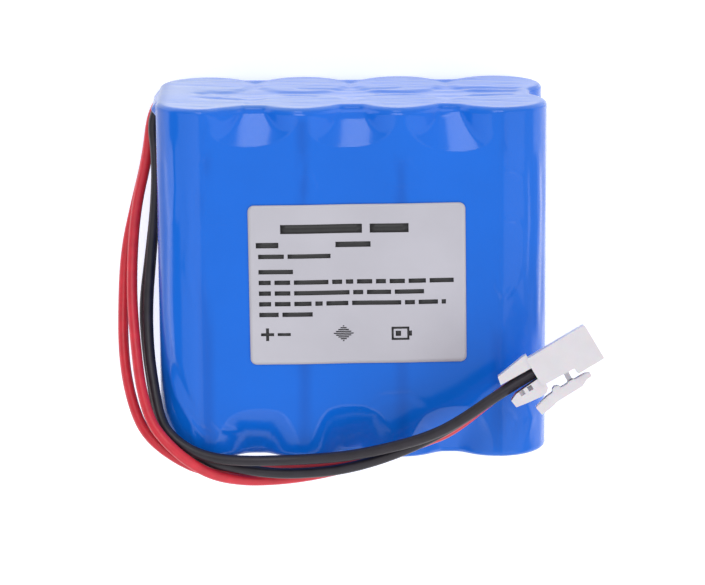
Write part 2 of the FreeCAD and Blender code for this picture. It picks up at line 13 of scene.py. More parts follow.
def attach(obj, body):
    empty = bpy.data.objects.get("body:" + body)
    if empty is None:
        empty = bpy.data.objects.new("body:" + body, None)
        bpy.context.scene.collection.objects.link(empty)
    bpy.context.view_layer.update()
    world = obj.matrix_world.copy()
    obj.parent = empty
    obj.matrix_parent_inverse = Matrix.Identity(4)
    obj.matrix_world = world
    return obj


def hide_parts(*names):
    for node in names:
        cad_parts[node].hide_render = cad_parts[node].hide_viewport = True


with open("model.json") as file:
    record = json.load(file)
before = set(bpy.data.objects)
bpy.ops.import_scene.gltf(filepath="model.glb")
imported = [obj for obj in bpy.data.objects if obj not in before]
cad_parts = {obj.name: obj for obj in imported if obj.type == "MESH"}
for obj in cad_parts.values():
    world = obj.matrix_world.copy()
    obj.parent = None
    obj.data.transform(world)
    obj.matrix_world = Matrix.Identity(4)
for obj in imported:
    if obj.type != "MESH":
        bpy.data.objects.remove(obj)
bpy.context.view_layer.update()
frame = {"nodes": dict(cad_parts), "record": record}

MM = 0.001
PACK = "pack"

# The film's outside at rest, in mm: half sizes, height, and where the crowns of the cells are.
HALF_X, HALF_Y, HEIGHT = 37.55, 34.3, 37.6
CELL_RADIUS = 9.5
COLUMNS = np.array([-28.05, -9.35, 9.35, 28.05])
HALF_PITCH = COLUMNS[2]
ROWS = np.array([9.5, 28.1])
MID_Z = HEIGHT / 2


# ---------------------------------------------------------------- node helpers

def map_range(nodes, low, high, start, end):
    """A node that maps low..high to start..end."""
    node = nodes.new("ShaderNodeMapRange")
    for key, number in (("From Min", low), ("From Max", high), ("To Min", start), ("To Max", end)):
        node.inputs[key].default_value = number
    return node


def add_bump(nodes, links, shader, distance):
    """A bump node that feeds the shader; its height is linked by the caller."""
    relief = nodes.new("ShaderNodeBump")
    relief.inputs["Strength"].default_value = 1.0
    relief.inputs["Distance"].default_value = distance
    links.new(relief.outputs["Normal"], shader.inputs["Normal"])
    return relief


# ---------------------------------------------------------------- camera, light and floor

# Focal length in mm, the camera's place and the spot it looks at in metres, and its roll in degrees.
LENS = 186.7
CAMERA_PLACE = Vector((-0.00479, 0.15758, 0.7191))
CAMERA_TARGET = Vector((-0.00002, -0.00136, 0.0374))
CAMERA_ROLL = -0.32


def add_camera():
    data = bpy.data.cameras.new("camera")
    data.lens = LENS
    data.sensor_width = 36.0
    data.clip_start = 0.05
    data.clip_end = 20.0
    camera = bpy.data.objects.new("camera", data)
    bpy.context.collection.objects.link(camera)
    camera.location = CAMERA_PLACE
    backward = (camera.location - CAMERA_TARGET).normalized()
    right = Vector((0, 1, 0)).cross(backward).normalized()
    up = backward.cross(right)
    basis = Matrix((right, up, backward)).transposed()
    camera.rotation_euler = (basis @ Matrix.Rotation(math.radians(CAMERA_ROLL), 3, "Z")).to_euler()
    bpy.context.scene.camera = camera


def add_panel(name, centre, size, radiance, target=(0.0, 0.0, 0.02)):
    """A large soft panel that looks at the object and is everywhere as bright as its radiance."""
    data = bpy.data.lights.new(name, "AREA")
    data.shape = "RECTANGLE"
    data.size, data.size_y = size
    data.energy = radiance * math.pi * size[0] * size[1]
    panel = bpy.data.objects.new(name, data)
    bpy.context.collection.objects.link(panel)
    panel.location = centre
    direction = Vector(target) - panel.location
    panel.rotation_euler = direction.to_track_quat("-Z", "Y").to_euler()


# Name, centre and size in metres, and radiance of each panel.
PANELS = [
    ("panel_left", (-0.9, -0.2, 1.1), (1.6, 1.3), 0.58),
    ("panel_right", (0.9, -0.2, 1.1), (1.6, 1.3), 0.47),
    ("panel_lead_end", (-0.15, 1.0, 1.05), (0.58, 0.8), 2.8),
    ("panel_far_end", (0.1, -1.0, 0.85), (1.9, 1.1), 0.6),
]


def add_world():
    """An even white surround that is dimmer on the left."""
    world = bpy.data.worlds.new("studio")
    bpy.context.scene.world = world
    world.use_nodes = True
    nodes, links = world.node_tree.nodes, world.node_tree.links
    background = nodes["Background"]
    background.inputs["Color"].default_value = (1.0, 1.0, 1.0, 1.0)
    direction = nodes.new("ShaderNodeTexCoord")
    split = nodes.new("ShaderNodeSeparateXYZ")
    links.new(direction.outputs["Generated"], split.inputs["Vector"])
    dim, full = 0.2, 0.62
    dimmer_left = map_range(nodes, -0.95, -0.2, dim, full)
    links.new(split.outputs["X"], dimmer_left.inputs["Value"])
    links.new(dimmer_left.outputs["Result"], background.inputs["Strength"])


FLOOR_HALF = 3.0
FLOOR_DROP = 0.0002
FLOOR_GLOW = 0.46


def add_floor():
    """Pale paper just below the pack, with a little glow of its own."""
    half = FLOOR_HALF
    mesh = bpy.data.meshes.new("floor")
    corners = [(-half, -half, 0), (half, -half, 0), (half, half, 0), (-half, half, 0)]
    mesh.from_pydata(corners, [], [(0, 1, 2, 3)])
    floor = bpy.data.objects.new("floor", mesh)
    bpy.context.collection.objects.link(floor)
    floor.location.z = -FLOOR_DROP
    paper = grainy("floor_paper", (0.93, 0.93, 0.93), 0.8, spread=0.01, scale=3.0)
    shader = paper.node_tree.nodes["Principled BSDF"]
    shader.inputs["Emission Color"].default_value = (1, 1, 1, 1)
    shader.inputs["Emission Strength"].default_value = FLOOR_GLOW
    mesh.materials.append(paper)


# ---------------------------------------------------------------- materials

def grainy(name, colour, roughness, metallic=0.0, spread=0.06, scale=400.0, bump=0.0, coat=0.0,
           rough_spread=0.06, specular=0.5, subsurface=0.0, stretch=(1, 1, 1)):
    """A surface whose colour, roughness and relief vary a little with noise."""
    material = bpy.data.materials.new(name)
    material.use_nodes = True
    nodes, links = material.node_tree.nodes, material.node_tree.links
    shader = nodes["Principled BSDF"]
    place = nodes.new("ShaderNodeTexCoord")
    mapping = nodes.new("ShaderNodeMapping")
    mapping.inputs["Scale"].default_value = stretch
    links.new(place.outputs["Object"], mapping.inputs["Vector"])
    noise = nodes.new("ShaderNodeTexNoise")
    noise.inputs["Scale"].default_value = scale
    noise.inputs["Detail"].default_value = 4.0
    links.new(mapping.outputs["Vector"], noise.inputs["Vector"])
    ramp = nodes.new("ShaderNodeValToRGB")
    ramp.color_ramp.elements[0].position = 0.3
    ramp.color_ramp.elements[1].position = 0.7
    ramp.color_ramp.elements[0].color = (*[max(0.0, c * (1 - spread)) for c in colour[:3]], 1)
    ramp.color_ramp.elements[1].color = (*[min(1.0, c * (1 + spread)) for c in colour[:3]], 1)
    links.new(noise.outputs["Fac"], ramp.inputs["Fac"])
    links.new(ramp.outputs["Color"], shader.inputs["Base Color"])
    rough = map_range(nodes, 0.0, 1.0, max(0.02, roughness - rough_spread),
                      min(1.0, roughness + rough_spread))
    links.new(noise.outputs["Fac"], rough.inputs["Value"])
    links.new(rough.outputs["Result"], shader.inputs["Roughness"])
    if bump:
        links.new(noise.outputs["Fac"], add_bump(nodes, links, shader, bump).inputs["Height"])
    shader.inputs["Metallic"].default_value = metallic
    shader.inputs["Coat Weight"].default_value = coat
    shader.inputs["Coat Roughness"].default_value = 0.08
    shader.inputs["Specular IOR Level"].default_value = specular
    shader.inputs["Subsurface Weight"].default_value = subsurface
    shader.inputs["Subsurface Scale"].default_value = 0.001
    return material


FINISHES = {
    "can_steel": dict(colour=(0.62, 0.62, 0.63), roughness=0.3, metallic=1.0, stretch=(1, 0.05, 1)),
    "cap_steel": dict(colour=(0.68, 0.68, 0.69), roughness=0.28, metallic=1.0),
    "cell_wrap": dict(colour=(0.70, 0.71, 0.80), roughness=0.35, coat=0.2),
    "electrode_roll": dict(colour=(0.16, 0.15, 0.15), roughness=0.6, metallic=0.6),
    "gasket_plastic": dict(colour=(0.1, 0.11, 0.13), roughness=0.5),
    "washer_paper": dict(colour=(0.8, 0.81, 0.78), roughness=0.8, bump=0.00002),
    "nickel": dict(colour=(0.66, 0.64, 0.60), roughness=0.32, metallic=1.0, stretch=(1, 1, 0.1)),
    "insulating_sheet": dict(colour=(0.74, 0.73, 0.68), roughness=0.75, bump=0.00002),
    "sense_wire": dict(colour=(0.78, 0.78, 0.76), roughness=0.5),
    "board_green": dict(colour=(0.03, 0.2, 0.09), roughness=0.35, coat=0.3),
    "chip_black": dict(colour=(0.02, 0.02, 0.022), roughness=0.5, bump=0.00001),
    "part_plating": dict(colour=(0.36, 0.28, 0.2), roughness=0.4),
    "connector_white": dict(colour=(0.78, 0.755, 0.80), roughness=0.42, spread=0.02, bump=0.000004,
                            subsurface=0.25),
    "terminal_tin": dict(colour=(0.62, 0.60, 0.56), roughness=0.3, metallic=1.0),
    "lead_black": dict(colour=(0.019, 0.015, 0.024), roughness=0.42, spread=0.25, bump=0.00001),
    "lead_red": dict(colour=(0.68, 0.028, 0.05), roughness=0.36, spread=0.1, bump=0.00001),
    "solder": dict(colour=(0.6, 0.6, 0.6), roughness=0.35, metallic=1.0),
    # The label's colour noise is partly its own faint mottling and partly painted highlight patches.
    "label_pale": dict(colour=(0.57, 0.56, 0.63), roughness=0.32, spread=0.045, scale=70.0, coat=0.1),
    "label_ink": dict(colour=(0.02, 0.02, 0.022), roughness=0.45, spread=0.2),
}


FILM_BLUE = (0.003, 0.158, 0.79)
# Painted dark reflection: the colour of the bands along the crowns.
CROWN_DARK_REFLECTION_BLUE = (0.003, 0.10, 0.56, 1)
# Painted shade: the colour of the film's left side.
LEFT_SHADE_BLUE = (0.012, 0.095, 0.48, 1)
# Paler colour over the ends: partly the thinner pulled film, partly a painted reflection.
PALE_END_AND_REFLECTION_BLUE = (0.20, 0.33, 0.50, 1)
FILM_COAT = 0.66


def film_material(name, sheen):
    """Glossy blue film, with painted dark reflections in bands along the crowns, painted shade down its
    left side, and paler over the ends, partly from the thinner pulled film and partly as a painted
    reflection.
    """
    material = grainy(name, FILM_BLUE, 0.2, spread=0.05, scale=45.0, coat=FILM_COAT,
                      rough_spread=0.05, specular=0.12)
    nodes, links = material.node_tree.nodes, material.node_tree.links
    shader = nodes["Principled BSDF"]
    place = nodes["Texture Coordinate"]

    def noise(scale, stretch, detail=3.0):
        mapping = nodes.new("ShaderNodeMapping")
        mapping.inputs["Scale"].default_value = stretch
        links.new(place.outputs["Object"], mapping.inputs["Vector"])
        texture = nodes.new("ShaderNodeTexNoise")
        texture.inputs["Scale"].default_value = scale
        texture.inputs["Detail"].default_value = detail
        texture.inputs["Distortion"].default_value = 0.6
        links.new(mapping.outputs["Vector"], texture.inputs["Vector"])
        return texture.outputs["Fac"]

    def ranged(value, low, high, start, end):
        node = map_range(nodes, low, high, start, end)
        node.interpolation_type = "SMOOTHSTEP"
        links.new(value, node.inputs["Value"])
        return node.outputs["Result"]

    def math_node(operation, first, second):
        node = nodes.new("ShaderNodeMath")
        node.operation = operation
        for value, socket in ((first, node.inputs[0]), (second, node.inputs[1])):
            if isinstance(value, float):
                socket.default_value = value
            else:
                links.new(value, socket)
        return node.outputs["Value"]

    def mixed(factor, first, colour):
        node = nodes.new("ShaderNodeMix")
        node.data_type = "RGBA"
        links.new(factor, node.inputs["Factor"])
        links.new(first, node.inputs[6])
        node.inputs[7].default_value = colour
        return node.outputs[2]

    split = nodes.new("ShaderNodeSeparateXYZ")
    links.new(place.outputs["Object"], split.inputs["Vector"])
    from_middle = math_node("ABSOLUTE", split.outputs["Y"], 0.0)
    at_end = ranged(from_middle, 0.0334, 0.0342, 0.0, 1.0)
    streaks = ranged(noise(170.0, (0.22, 1.0, 1.0)), 0.40, 0.64, 0.45, 1.0)
    paler_left = ranged(split.outputs["X"], -0.034, 0.03, 0.88, 0.52)
    at_left = ranged(split.outputs["X"], -0.0368, -0.0345, 1.0, 0.0)
    # Painted dark reflection: darker bands with ragged edges along the crowns, fading out near the ends.
    half_pitch = float(HALF_PITCH) * MM
    to_crown = math_node("PINGPONG", math_node("ADD", split.outputs["X"], half_pitch), half_pitch)
    crown_dark_reflection = math_node("MULTIPLY", ranged(to_crown, 0.0, 0.0022, 1.0, 0.0),
                         ranged(noise(60.0, (1.0, 0.4, 1.0)), 0.46, 0.58, 0.0, 0.55))
    crown_dark_reflection = math_node("MULTIPLY", crown_dark_reflection, ranged(from_middle, 0.031, 0.0335, 1.0, 0.0))
    colour = shader.inputs["Base Color"].links[0].from_socket
    colour = mixed(crown_dark_reflection, colour, CROWN_DARK_REFLECTION_BLUE)
    # Painted shade down the left side of the film.
    colour = mixed(math_node("MULTIPLY", at_left, 0.6), colour, LEFT_SHADE_BLUE)
    # Paler over the ends, in streaks and more so on the left: partly the thinner pulled film, partly a
    # painted reflection.
    pale_end_and_reflection = math_node("MULTIPLY", math_node("MULTIPLY", at_end, streaks), paler_left)
    colour = mixed(math_node("MULTIPLY", pale_end_and_reflection, 0.4), colour, PALE_END_AND_REFLECTION_BLUE)
    links.new(colour, shader.inputs["Base Color"])
    shader.inputs["Sheen Weight"].default_value = sheen
    shader.inputs["Sheen Roughness"].default_value = 0.45
    shader.inputs["Sheen Tint"].default_value = (0.95, 0.96, 0.90, 1.0)
    shader.inputs["Coat Roughness"].default_value = 0.13
    dulling = ranged(split.outputs["X"], -0.03, 0.03, 0.3, 0.6)
    coat = math_node("SUBTRACT", FILM_COAT, math_node("MULTIPLY", at_end, dulling))
    coat = math_node("SUBTRACT", coat, math_node("MULTIPLY", at_left, 0.45))
    links.new(coat, shader.inputs["Coat Weight"])
    links.new(noise(260.0, (1.0, 0.2, 1.0)), add_bump(nodes, links, shader, 0.00007).inputs["Height"])
    return material


def finish_cad_nodes(materials):
    """Gives every carried-over CAD node the finish of its record slot."""
    slots = {part["node"]: part["material_slot"] for part in frame["record"]["subparts"]}
    for node, obj in frame["nodes"].items():
        name = slots[node]
        obj.data.materials.clear()
        obj.data.materials.append(materials[name])


# ---------------------------------------------------------------- leads

# Control points of each lead in mm, from where it leaves the film to its way into the connector.
LEADS = {
    "black_inner": [
        (-32.4, 32.95, 22.2), (-35.9, 32.95, 22.2), (-38.6, 30.2, 22.0), (-37.8, 22.2, 21.6),
        (-38.1, 13.3, 21.4), (-39.1, 3.0, 22.7), (-39.9, -6.5, 25.4), (-39.6, -14.7, 29.0),
        (-38.6, -20.8, 32.7), (-37.3, -26.6, 36.4), (-35.2, -29.2, 38.9), (-31.4, -31.7, 40.4),
        (-26.7, -33.3, 40.7), (-20.6, -33.9, 40.3), (-14.2, -33.8, 40.3), (-7.7, -33.3, 41.3),
        (-0.8, -32.2, 43.2), (6.6, -30.1, 45.4), (13.5, -27.6, 47.5), (19.3, -24.4, 49.3),
        (27.7, -18.3, 49.6), (34.2, -14.5, 49.1)],
    "black_outer": [
        (-32.4, 32.95, 19.7), (-35.9, 32.95, 19.7), (-38.6, 30.2, 19.4), (-37.9, 21.7, 18.8),
        (-38.3, 12.1, 18.6), (-39.5, 2.4, 19.7), (-40.8, -7.2, 22.5), (-40.1, -15.4, 26.3),
        (-39.0, -21.6, 30.2), (-37.8, -27.2, 34.0), (-35.6, -30.0, 36.7), (-31.6, -32.6, 38.5),
        (-27.4, -34.7, 38.9), (-22.8, -35.8, 38.1), (-16.2, -36.9, 38.4), (-9.5, -36.6, 39.7),
        (-2.1, -35.3, 41.8), (5.7, -32.6, 43.8), (13.0, -29.1, 45.3), (19.0, -25.4, 46.8),
        (27.9, -18.9, 47.2), (34.3, -15.0, 46.7)],
    "red_outer": [
        (-32.4, 32.95, 14.7), (-35.9, 32.95, 14.7), (-38.8, 30.3, 14.4), (-40.1, 20.5, 14.1),
        (-42.4, 11.6, 13.9), (-44.5, 2.5, 15.3), (-45.0, -7.0, 18.7), (-44.9, -15.5, 23.4),
        (-43.8, -22.0, 28.5), (-41.6, -27.8, 33.3), (-38.8, -30.8, 36.6), (-34.3, -33.9, 38.0),
        (-29.5, -36.6, 37.0), (-23.7, -37.5, 35.1), (-17.1, -37.0, 34.9), (-10.0, -36.5, 36.9),
        (-2.5, -35.2, 39.5), (5.3, -32.8, 41.5), (12.6, -29.4, 43.0), (18.6, -26.7, 44.6),
        (27.9, -19.5, 44.7), (34.4, -15.6, 44.2)],
    "red_inner": [
        (-32.4, 32.95, 17.2), (-35.9, 32.95, 17.2), (-38.8, 30.3, 17.0), (-39.8, 21.2, 17.2),
        (-42.0, 12.4, 17.9), (-42.9, 3.6, 20.1), (-43.0, -5.7, 24.2), (-42.1, -14.1, 29.2),
        (-41.1, -20.5, 34.1), (-39.1, -26.4, 38.6), (-36.1, -29.7, 41.2), (-32.2, -33.3, 41.7),
        (-27.3, -36.8, 39.9), (-21.5, -38.8, 36.8), (-15.5, -39.2, 35.2), (-8.9, -38.3, 35.8),
        (-1.7, -36.2, 37.7), (5.9, -33.6, 39.6), (13.1, -30.2, 41.0), (18.9, -27.7, 42.5),
        (28.0, -20.0, 42.3), (34.5, -16.1, 41.8)],
}
# The leads' diameter, in metres.
LEAD_DIAMETER = 0.00205


def add_lead(key, points, material):
    """A round wire along its control points, which stands for the CAD node of the same name."""
    curve = bpy.data.curves.new(f"lead_{key}_wire", "CURVE")
    curve.dimensions = "3D"
    spline = curve.splines.new("NURBS")
    spline.points.add(len(points) - 1)
    for control, (x, y, z) in zip(spline.points, points):
        control.co = (x * MM, y * MM, z * MM, 1)
    spline.order_u = 3
    spline.use_endpoint_u = True
    spline.resolution_u = 10
    curve.bevel_depth = LEAD_DIAMETER / 2
    curve.bevel_resolution = 8
    curve.use_fill_caps = True
    curve.materials.append(material)
    piece = bpy.data.objects.new(f"lead_{key}_wire", curve)
    bpy.context.collection.objects.link(piece)
    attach(piece, PACK)
    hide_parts(f"lead_{key}")
    return piece


# ---------------------------------------------------------------- shrink film

def hull_ring(step):
    """Points round the pack's outline in XZ, starting at the top left crown."""
    flat, rise = COLUMNS[-1], ROWS[1] - ROWS[0]
    ring = []

    def straight(start, end):
        count = max(2, int(round(np.hypot(*np.subtract(end, start)) / step)))
        for k in range(count):
            ring.append(np.array(start) + (np.array(end) - np.array(start)) * k / count)

    def corner(centre, first_angle):
        count = int(round(CELL_RADIUS * math.pi / 2 / step))
        for k in range(count):
            angle = math.radians(first_angle - 90 * k / count)
            ring.append(np.array(centre) + CELL_RADIUS * np.array([math.cos(angle), math.sin(angle)]))

    straight((-flat, HEIGHT), (flat, HEIGHT))
    corner((flat, ROWS[1]), 90)
    straight((HALF_X, ROWS[1]), (HALF_X, ROWS[0]))
    corner((flat, ROWS[0]), 0)
    straight((flat, 0), (-flat, 0))
    corner((-flat, ROWS[0]), -90)
    straight((-HALF_X, ROWS[0]), (-HALF_X, ROWS[1]))
    corner((-flat, ROWS[1]), 180)
    return np.array(ring)


def waves(a, b, seed, count=5, longest=30.0, shortest=6.0):
    """A smooth, repeatable ripple from -1 to 1 over two coordinates in mm."""
    random = np.random.default_rng(seed)
    total = np.zeros(np.broadcast(a, b).shape)
    for _ in range(count):
        length = random.uniform(shortest, longest)
        angle = random.uniform(0, math.pi)
        phase = random.uniform(0, 2 * math.pi)
        total = total + np.sin((a * math.cos(angle) + b * math.sin(angle)) * 2 * math.pi / length + phase)
    return total / count


def smooth_step(share):
    share = np.clip(share, 0, 1)
    return share * share * (3 - 2 * share)


def line_gap(a, b, points):
    """The distance of every place (a, b) from a broken line."""
    nearest = np.full(np.broadcast(a, b).shape, 1e9)
    for (first_a, first_b), (next_a, next_b) in zip(points, points[1:]):
        run_a, run_b = next_a - first_a, next_b - first_b
        along = (a - first_a) * run_a + (b - first_b) * run_b
        share = np.clip(along / (run_a ** 2 + run_b ** 2), 0, 1)
        nearest = np.minimum(nearest, np.hypot(a - first_a - share * run_a, b - first_b - share * run_b))
    return nearest


def soft_min(a, b, width):
    """The smaller of two, rounded off where they cross."""
    gap = np.clip(0.5 + 0.5 * (b - a) / width, 0, 1)
    return b + (a - b) * gap - width * gap * (1 - gap)


VALLEYS = [-18.7, 0.0, 18.7]
# for each end (+Y first) and valley: how deep the film dips at the end, how far along it reaches, and
# how far its lowest line leans sideways
DIPS = {1: [(3.6, 7.4, -1.0), (3.6, 7.6, -0.6), (3.8, 8.6, 0.9)],
        -1: [(3.5, 9.9, 0.4), (3.4, 10.7, -0.3), (3.6, 10.3, 0.5)]}
DIP_SOFTNESS = {1: 0.35, -1: 1.4}
# The furthest that a place counts as lying off a crown, and how deep the film dips away from the ends.
FURTHEST_OFF = 9.3
MIDDLE_DIP = 0.22


def crown_dip(x, y, bottom):
    """How far the film on the broad faces lies below the flat outline."""
    dip = np.zeros(np.broadcast(x, y).shape)
    for side, settings in DIPS.items():
        from_end = np.clip(HALF_Y - side * y, 0, None)
        for valley, (depth, reach, lean) in zip(VALLEYS, settings):
            centre = valley + lean * from_end / 6.0 * (-1 if bottom else 1)
            across = np.clip(np.abs(x - centre) / HALF_PITCH, 0, 1)
            off_crown = np.clip(HALF_PITCH - np.abs(x - valley), 0, FURTHEST_OFF)
            arc = CELL_RADIUS - np.sqrt(CELL_RADIUS ** 2 - off_crown ** 2)
            dome = reach * np.sqrt(np.clip(1 - across ** 2.4, 0, 1))
            slope = soft_min(depth / reach * (dome - from_end), np.full_like(dome, depth), 0.4)
            dip = np.maximum(dip, soft_min(arc, slope, DIP_SOFTNESS[side]))
    nearest = np.min(np.abs(x[..., None] - np.array(VALLEYS)), axis=-1)
    between = smooth_step(1 - nearest / HALF_PITCH)
    return dip + MIDDLE_DIP * between * np.where(np.abs(x) < COLUMNS[-1], 1, 0)


# Fine creases in the top of the film: a broken line of (x, y) points, the crease's height (below zero for
# a groove) and its half width.
CREASES = [
    ([(28.6, 22.3), (31.0, 22.2), (32.4, 20.6), (32.5, 17.5)], 0.10, 0.45),
    ([(28.4, 12.8), (31.4, 12.6), (32.5, 10.5), (32.4, 4.0), (31.2, 0.0), (29.4, -2.4), (27.9, -1.2),
      (27.3, 1.6)], 0.11, 0.45),
    ([(29.2, 27.6), (30.6, 25.6)], 0.10, 0.5),
    ([(-35.6, -17.0), (-34.0, -22.5), (-31.0, -27.0), (-29.0, -29.5)], 0.16, 0.55),
    ([(-34.6, -15.0), (-32.2, -21.5), (-30.6, -24.5)], -0.12, 0.6),
    ([(-33.0, -23.5), (-30.2, -27.5), (-27.0, -29.5)], -0.12, 0.5),
    ([(-31.6, -26.0), (-31.2, -29.5), (-30.4, -32.0)], 0.12, 0.5),
    ([(-27.6, -26.0), (-25.4, -28.2), (-22.5, -29.2)], 0.12, 0.5),
    ([(-36.2, 25.0), (-35.6, 10.0), (-35.9, -6.0), (-35.2, -16.0)], -0.12, 0.6),
    ([(-33.8, 28.0), (-33.6, 19.0), (-34.2, 11.0)], 0.10, 0.55),
    ([(-31.5, 20.0), (-31.0, 12.0), (-31.6, 4.0), (-30.8, -3.0)], 0.08, 0.6),
    ([(-29.5, 24.0), (-28.2, 25.4), (-25.6, 25.0)], 0.09, 0.5),
    ([(-29.2, 11.5), (-26.8, 12.3), (-23.0, 12.0)], 0.07, 0.5),
    ([(35.5, 26.0), (35.9, 14.0), (35.4, 2.0), (35.8, -12.0)], 0.12, 0.5),
    ([(34.0, 24.0), (34.3, 12.0), (33.9, -1.0)], -0.10, 0.5),
    ([(36.6, 22.0), (36.8, 8.0), (36.5, -8.0)], -0.12, 0.5),
    ([(-11.2, 25.0), (-8.6, 26.2), (-6.9, 25.1)], 0.10, 0.55),
    ([(-10.8, 21.6), (-8.2, 22.2), (-7.2, 19.4), (-8.4, 17.6)], 0.08, 0.6),
    ([(7.6, 24.4), (10.3, 24.6), (11.4, 22.8)], 0.10, 0.55),
    ([(6.9, 20.0), (11.8, 19.4)], 0.10, 0.4),
    ([(22.0, -28.0), (25.5, -22.5), (29.0, -20.0), (33.0, -19.4)], -0.10, 0.8),
    ([(32.2, -21.0), (34.6, -27.0), (33.8, -31.0)], 0.14, 0.6),
    ([(28.5, -23.0), (31.2, -27.2), (30.6, -31.2)], -0.12, 0.7),
    ([(2.6, -24.6), (6.0, -22.0), (11.0, -21.6), (15.0, -24.4)], -0.08, 0.8),
]


def rim_droop(x, y):
    """How far the film droops, in uneven facets, where it turns over the lead end of the cells."""
    reach = 0.7 + 1.7 * smooth_step(0.45 + 1.6 * waves(x, np.zeros_like(x), 41, 4, 16.0, 6.0))
    return 0.46 * np.clip(reach - (HALF_Y - y), 0, None) * smooth_step((COLUMNS[-1] - np.abs(x)) / 4.0)


def creases(x, y):
    """How far the creases raise the top of the film."""
    total = np.zeros(np.broadcast(x, y).shape)
    for points, tall, half_width in CREASES:
        nearest = line_gap(x, y, points)
        (first_x, first_y), (last_x, last_y) = points[0], points[-1]
        tip = np.minimum(np.hypot(x - first_x, y - first_y), np.hypot(x - last_x, y - last_y))
        total = total + tall * np.exp(-(nearest / half_width) ** 2) * smooth_step(0.35 + tip / 5.0)
    return total


def side_dip(y, z):
    """How far the film on the narrow sides lies in from the flat outline, between the two rows."""
    off_row = np.clip(np.minimum(np.abs(z - ROWS[0]), np.abs(z - ROWS[1])), 0, FURTHEST_OFF)
    arc = CELL_RADIUS - np.sqrt(CELL_RADIUS ** 2 - off_row ** 2)
    near_end = np.clip(1 - (HALF_Y - np.abs(y)) / 9.0, 0, 1)
    depth = 1.4 + 1.3 * near_end
    return soft_min(arc, depth, 0.8)


def over_leads(x, y, z):
    """One where the film is stretched over the leads at their corner, fading to zero around it."""
    rows = smooth_step((9.2 - np.abs(z - 18.5)) / 2.8)
    return rows * smooth_step((-28.0 - x) / 4.0) * smooth_step((y - 30.0) / 2.4)


# How far the film stands off its flat outline above and below, how tall its slow waves and its small
# shoulder ripples are, and how much taller the creases are than their table says.
SLACK_ABOVE, SLACK_BELOW = 0.09, 0.05
WAVE, RIPPLE = 0.05, 0.045
CREASE_GAIN = 1.5


def film_ring(base, y):
    """The outline at one place along the cells, with the film's dips and creases in it."""
    x, z = base[:, 0].copy(), base[:, 1].copy()
    top = z > MID_Z
    flat = np.abs(x) <= COLUMNS[-1] + 1e-6
    y_all = np.full_like(x, y)
    drop = crown_dip(x, y_all, bottom=False) + WAVE * waves(x, y_all, 3) + SLACK_ABOVE + rim_droop(x, y_all)
    rise = crown_dip(x, y_all, bottom=True) + WAVE * waves(x, y_all, 4) + SLACK_BELOW
    z = np.where(top & flat, HEIGHT - drop, z)
    z = np.where(~top & flat, rise, z)
    on_side = (z > ROWS[0]) & (z < ROWS[1]) & (np.abs(x) > COLUMNS[-1])
    tight = side_dip(y_all, z) * (1 - over_leads(x, y_all, z))
    x = np.where(on_side, np.sign(x) * (HALF_X - tight), x)
    ring = np.stack([x, z], axis=1)
    shoulder = np.clip((np.abs(x) - 26.0) / 4.0, 0, 1) * np.clip((ROWS[1] + 8.5 - z) / 3.0, 0, 1)
    along = np.arctan2(z - MID_Z, np.abs(x) - 20.0) * 20.0
    ripple = RIPPLE * shoulder * waves(along, y_all * 0.16 + np.sign(x) * 40.0, 31, 7, 5.0, 1.8)
    lift = ripple - 0.05 * shoulder + np.where(z > ROWS[1] - 3.0, CREASE_GAIN * creases(x, y_all), 0)
    near_end = smooth_step((HALF_Y - abs(y)) / 2.0)
    return ring + ring_normals(ring) * (lift * near_end)[:, None]


def ring_normals(ring):
    """Outward directions of a closed outline that runs clockwise seen along +Y."""
    along = np.roll(ring, -1, axis=0) - np.roll(ring, 1, axis=0)
    normal = np.stack([-along[:, 1], along[:, 0]], axis=1)
    return normal / np.linalg.norm(normal, axis=1, keepdims=True)


# The radius at which the film turns over into the ends.
EDGE = 1.1
# Folds in the film over the cell ends: a broken line of (x, z) points, depth and half width, in mm.
END_FOLDS = {
    1: [([(-34.0, 20.5), (-27.0, 17.4), (-20.0, 19.6), (-12.0, 18.2), (-3.0, 19.4), (6.0, 17.9),
          (15.0, 19.2), (24.0, 18.0), (33.0, 17.6)], 0.30, 1.1),
        ([(-35.0, 24.5), (-29.0, 23.4), (-22.0, 25.8), (-17.0, 25.0)], 0.22, 0.8),
        ([(-24.0, 22.6), (-15.0, 21.4), (-7.0, 23.0)], 0.16, 0.7),
        ([(-10.0, 14.2), (0.0, 15.6), (9.0, 14.0)], 0.18, 0.8),
        ([(3.0, 22.4), (12.0, 21.8), (22.0, 23.2), (31.0, 22.4)], 0.18, 0.8),
        ([(17.0, 14.6), (26.0, 14.8), (35.0, 15.4)], 0.2, 0.8)],
    -1: [([(-34.0, 17.8), (-25.0, 19.2), (-14.0, 18.0), (-4.0, 19.5), (7.0, 18.4), (16.0, 19.4),
           (25.0, 18.2), (34.0, 19.0)], 0.24, 1.1),
         ([(-30.0, 22.8), (-20.0, 21.8), (-8.0, 23.4)], 0.14, 0.8),
         ([(2.0, 14.6), (12.0, 15.4), (24.0, 14.4)], 0.14, 0.8)],
}
DEEPEST_SINK = {1: 0.46, -1: 0.34}
TURN_STEPS = 6


def end_sink(x, z, side):
    """How far the film over the cell ends sinks in between the round ends, with its pulled folds."""
    gaps = np.stack([np.hypot(x - cx, z - cz) for cx in COLUMNS for cz in ROWS])
    bowl = 0.30 * smooth_step((gaps.min(axis=0) - 7.4) / 2.4)
    folds = np.zeros_like(x)
    for points, deep, half_width in END_FOLDS[side]:
        nearest = line_gap(x, z, points)
        folds = np.maximum(folds, deep * np.exp(-(nearest / half_width) ** 2))
    streaks = 0.07 * (1 + waves(x * 0.3, z, 17 + side, 6, 6.0, 2.0))
    total = bowl + folds + streaks
    limit = DEEPEST_SINK[side]
    return soft_min(total, np.full_like(total, limit), 0.15) * (1 - over_leads(x, side * HALF_Y, z))


